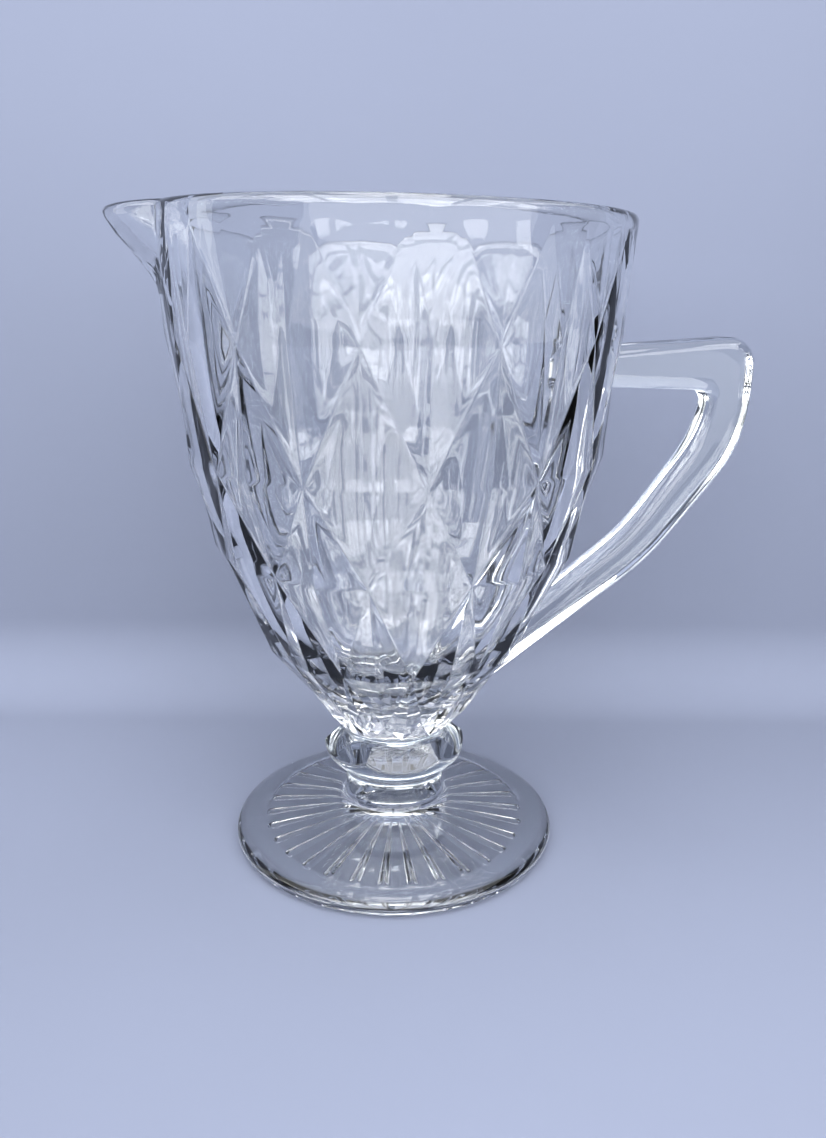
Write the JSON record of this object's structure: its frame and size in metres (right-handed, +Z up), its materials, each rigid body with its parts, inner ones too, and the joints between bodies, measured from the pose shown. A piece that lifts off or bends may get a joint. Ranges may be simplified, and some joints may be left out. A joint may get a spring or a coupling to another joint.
{
  "type": "footed glass jug",
  "caption": "Footed pressed-glass jug: faceted tapering bowl with a plain rim and pouring lip, ear-shaped handle, faceted knop on a short stem, round foot with a sunburst underneath.",
  "frame": {"origin": "on the jug's own axis, in the plane that the foot's ring rests on", "axes": "+Z up along the axis of the bowl, +X towards the handle, -X towards the pouring lip"},
  "size_m": [0.2059, 0.1446, 0.2113],
  "materials": {
    "clear_glass": "clear, glossy, fire-polished; faint grey-green in thick sections"
  },
  "bodies": {
    "root": {"bowl": "clear_glass", "handle": "clear_glass", "stem": "clear_glass", "foot": "clear_glass"}
  },
  "joints": []
}
